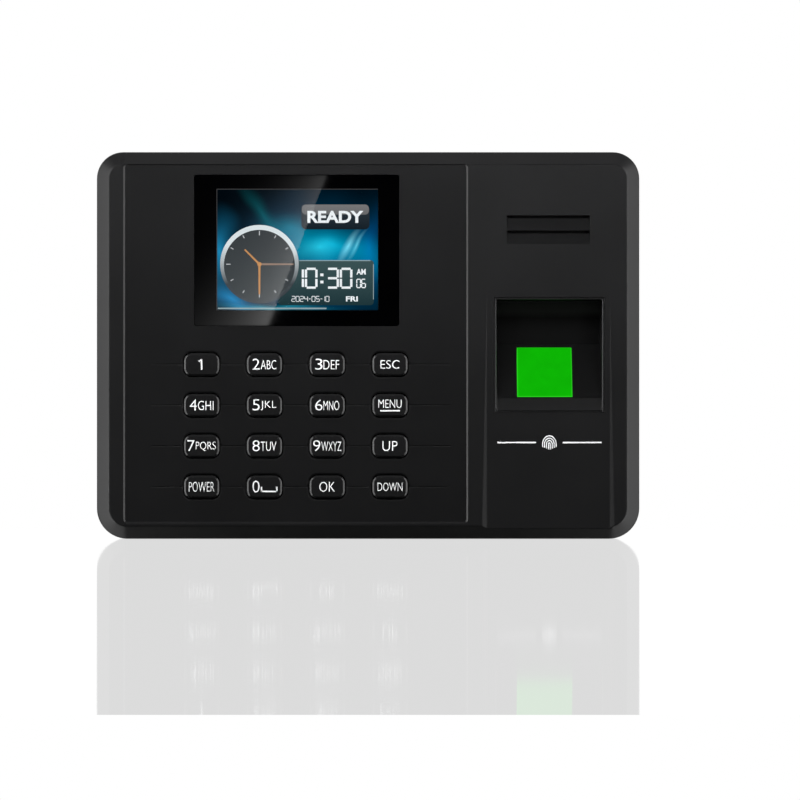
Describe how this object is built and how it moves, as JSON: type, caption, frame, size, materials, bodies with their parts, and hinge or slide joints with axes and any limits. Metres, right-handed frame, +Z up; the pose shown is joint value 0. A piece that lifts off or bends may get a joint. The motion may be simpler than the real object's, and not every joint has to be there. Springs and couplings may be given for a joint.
{
  "type": "fingerprint scanner terminal",
  "caption": "Black fingerprint scanner terminal with a colour display, a keypad, a lit finger sensor in a pocket, a speaker louvre and a steel wall plate.",
  "frame": {"origin": "centre of the wall plate's four screw holes, on the wall plane at the back of the plate", "axes": "+X to the user's right, +Y from the user to the wall, +Z up"},
  "size_m": [0.188, 0.0353, 0.134],
  "materials": {
    "housing": "fine moulded grain, satin black",
    "key": "satin black with printed white legends",
    "bezel": "smooth black",
    "lens": "polished, black printed border",
    "display": "lit colour display",
    "light_guide": "smooth",
    "sheet_steel": "zinc plated",
    "screw_steel": "zinc plated",
    "socket_steel": "tin plated",
    "cell_steel": "nickel plated",
    "speaker_metal": "black paint",
    "foam": "foam tape",
    "silicone": "matt silicone",
    "flex": "polyimide film",
    "wire": "insulated wire",
    "circuit_board": "green solder mask",
    "chip": "moulded package",
    "connector_black": "moulded",
    "connector_pale": "moulded",
    "battery_wrap": "foil pouch",
    "sensor_window": "coated optical glass, lit green from inside",
    "lamp_green": "clear lamp body"
  },
  "bodies": {
    "housing": {"front_housing": "housing", "rear_housing": "housing", "housing_screws": "screw_steel", "display_lens": "lens", "lens_tape": "foam", "display_gasket": "foam", "display_panel": "display", "display_backlight": "light_guide", "display_frame": "sheet_steel", "display_flex": "flex", "keypad_mat": "silicone", "keypad_board": "circuit_board", "keypad_screws": "screw_steel", "keypad_header": "connector_black", "main_board": "circuit_board", "board_chips": "chip", "board_connectors": "connector_pale", "board_screws": "screw_steel", "network_jack": "socket_steel", "power_jack": "connector_black", "usb_port": "socket_steel", "reset_switch": "connector_black", "coin_cell_holder": "connector_black", "coin_cell": "cell_steel", "backup_battery": "battery_wrap", "speaker": "speaker_metal", "speaker_gasket": "foam", "speaker_leads": "wire", "sensor_bezel": "bezel", "sensor_prism": "sensor_window", "sensor_chamber": "bezel", "sensor_light_board": "circuit_board", "sensor_leds": "lamp_green", "sensor_camera": "connector_black", "sensor_camera_board": "circuit_board", "sensor_flex": "flex", "sensor_screws": "screw_steel"},
    "key_1_body": {"key_1": "key"},
    "key_2_body": {"key_2": "key"},
    "key_3_body": {"key_3": "key"},
    "key_esc_body": {"key_esc": "key"},
    "key_4_body": {"key_4": "key"},
    "key_5_body": {"key_5": "key"},
    "key_6_body": {"key_6": "key"},
    "key_menu_body": {"key_menu": "key"},
    "key_7_body": {"key_7": "key"},
    "key_8_body": {"key_8": "key"},
    "key_9_body": {"key_9": "key"},
    "key_up_body": {"key_up": "key"},
    "key_power_body": {"key_power": "key"},
    "key_0_body": {"key_0": "key"},
    "key_ok_body": {"key_ok": "key"},
    "key_down_body": {"key_down": "key"},
    "reset_button_body": {"reset_button": "connector_pale"},
    "wall_mount": {"wall_plate": "sheet_steel", "lock_screw": "screw_steel"}
  },
  "joints": [
    {"name": "key_1_press", "type": "slide", "parent": "housing", "child": "key_1_body", "axis": [0, 1, 0], "range_m": [0, 0.001], "stiffness_N_per_m": 1200, "springref_m": -0.0003, "deforming": ["keypad_mat"]},
    {"name": "key_2_press", "type": "slide", "parent": "housing", "child": "key_2_body", "axis": [0, 1, 0], "range_m": [0, 0.001], "stiffness_N_per_m": 1200, "springref_m": -0.0003, "deforming": ["keypad_mat"]},
    {"name": "key_3_press", "type": "slide", "parent": "housing", "child": "key_3_body", "axis": [0, 1, 0], "range_m": [0, 0.001], "stiffness_N_per_m": 1200, "springref_m": -0.0003, "deforming": ["keypad_mat"]},
    {"name": "key_esc_press", "type": "slide", "parent": "housing", "child": "key_esc_body", "axis": [0, 1, 0], "range_m": [0, 0.001], "stiffness_N_per_m": 1200, "springref_m": -0.0003, "deforming": ["keypad_mat"]},
    {"name": "key_4_press", "type": "slide", "parent": "housing", "child": "key_4_body", "axis": [0, 1, 0], "range_m": [0, 0.001], "stiffness_N_per_m": 1200, "springref_m": -0.0003, "deforming": ["keypad_mat"]},
    {"name": "key_5_press", "type": "slide", "parent": "housing", "child": "key_5_body", "axis": [0, 1, 0], "range_m": [0, 0.001], "stiffness_N_per_m": 1200, "springref_m": -0.0003, "deforming": ["keypad_mat"]},
    {"name": "key_6_press", "type": "slide", "parent": "housing", "child": "key_6_body", "axis": [0, 1, 0], "range_m": [0, 0.001], "stiffness_N_per_m": 1200, "springref_m": -0.0003, "deforming": ["keypad_mat"]},
    {"name": "key_menu_press", "type": "slide", "parent": "housing", "child": "key_menu_body", "axis": [0, 1, 0], "range_m": [0, 0.001], "stiffness_N_per_m": 1200, "springref_m": -0.0003, "deforming": ["keypad_mat"]},
    {"name": "key_7_press", "type": "slide", "parent": "housing", "child": "key_7_body", "axis": [0, 1, 0], "range_m": [0, 0.001], "stiffness_N_per_m": 1200, "springref_m": -0.0003, "deforming": ["keypad_mat"]},
    {"name": "key_8_press", "type": "slide", "parent": "housing", "child": "key_8_body", "axis": [0, 1, 0], "range_m": [0, 0.001], "stiffness_N_per_m": 1200, "springref_m": -0.0003, "deforming": ["keypad_mat"]},
    {"name": "key_9_press", "type": "slide", "parent": "housing", "child": "key_9_body", "axis": [0, 1, 0], "range_m": [0, 0.001], "stiffness_N_per_m": 1200, "springref_m": -0.0003, "deforming": ["keypad_mat"]},
    {"name": "key_up_press", "type": "slide", "parent": "housing", "child": "key_up_body", "axis": [0, 1, 0], "range_m": [0, 0.001], "stiffness_N_per_m": 1200, "springref_m": -0.0003, "deforming": ["keypad_mat"]},
    {"name": "key_power_press", "type": "slide", "parent": "housing", "child": "key_power_body", "axis": [0, 1, 0], "range_m": [0, 0.001], "stiffness_N_per_m": 1200, "springref_m": -0.0003, "deforming": ["keypad_mat"]},
    {"name": "key_0_press", "type": "slide", "parent": "housing", "child": "key_0_body", "axis": [0, 1, 0], "range_m": [0, 0.001], "stiffness_N_per_m": 1200, "springref_m": -0.0003, "deforming": ["keypad_mat"]},
    {"name": "key_ok_press", "type": "slide", "parent": "housing", "child": "key_ok_body", "axis": [0, 1, 0], "range_m": [0, 0.001], "stiffness_N_per_m": 1200, "springref_m": -0.0003, "deforming": ["keypad_mat"]},
    {"name": "key_down_press", "type": "slide", "parent": "housing", "child": "key_down_body", "axis": [0, 1, 0], "range_m": [0, 0.001], "stiffness_N_per_m": 1200, "springref_m": -0.0003, "deforming": ["keypad_mat"]},
    {"name": "reset_press", "type": "slide", "parent": "housing", "child": "reset_button_body", "axis": [0, -1, 0], "range_m": [0, 0.00025], "stiffness_N_per_m": 6000, "springref_m": -0.0001},
    {"name": "wall_plate_unhook", "type": "slide", "parent": "housing", "child": "wall_mount", "axis": [0, 0, -1], "range_m": [0, 0.008]}
  ]
}
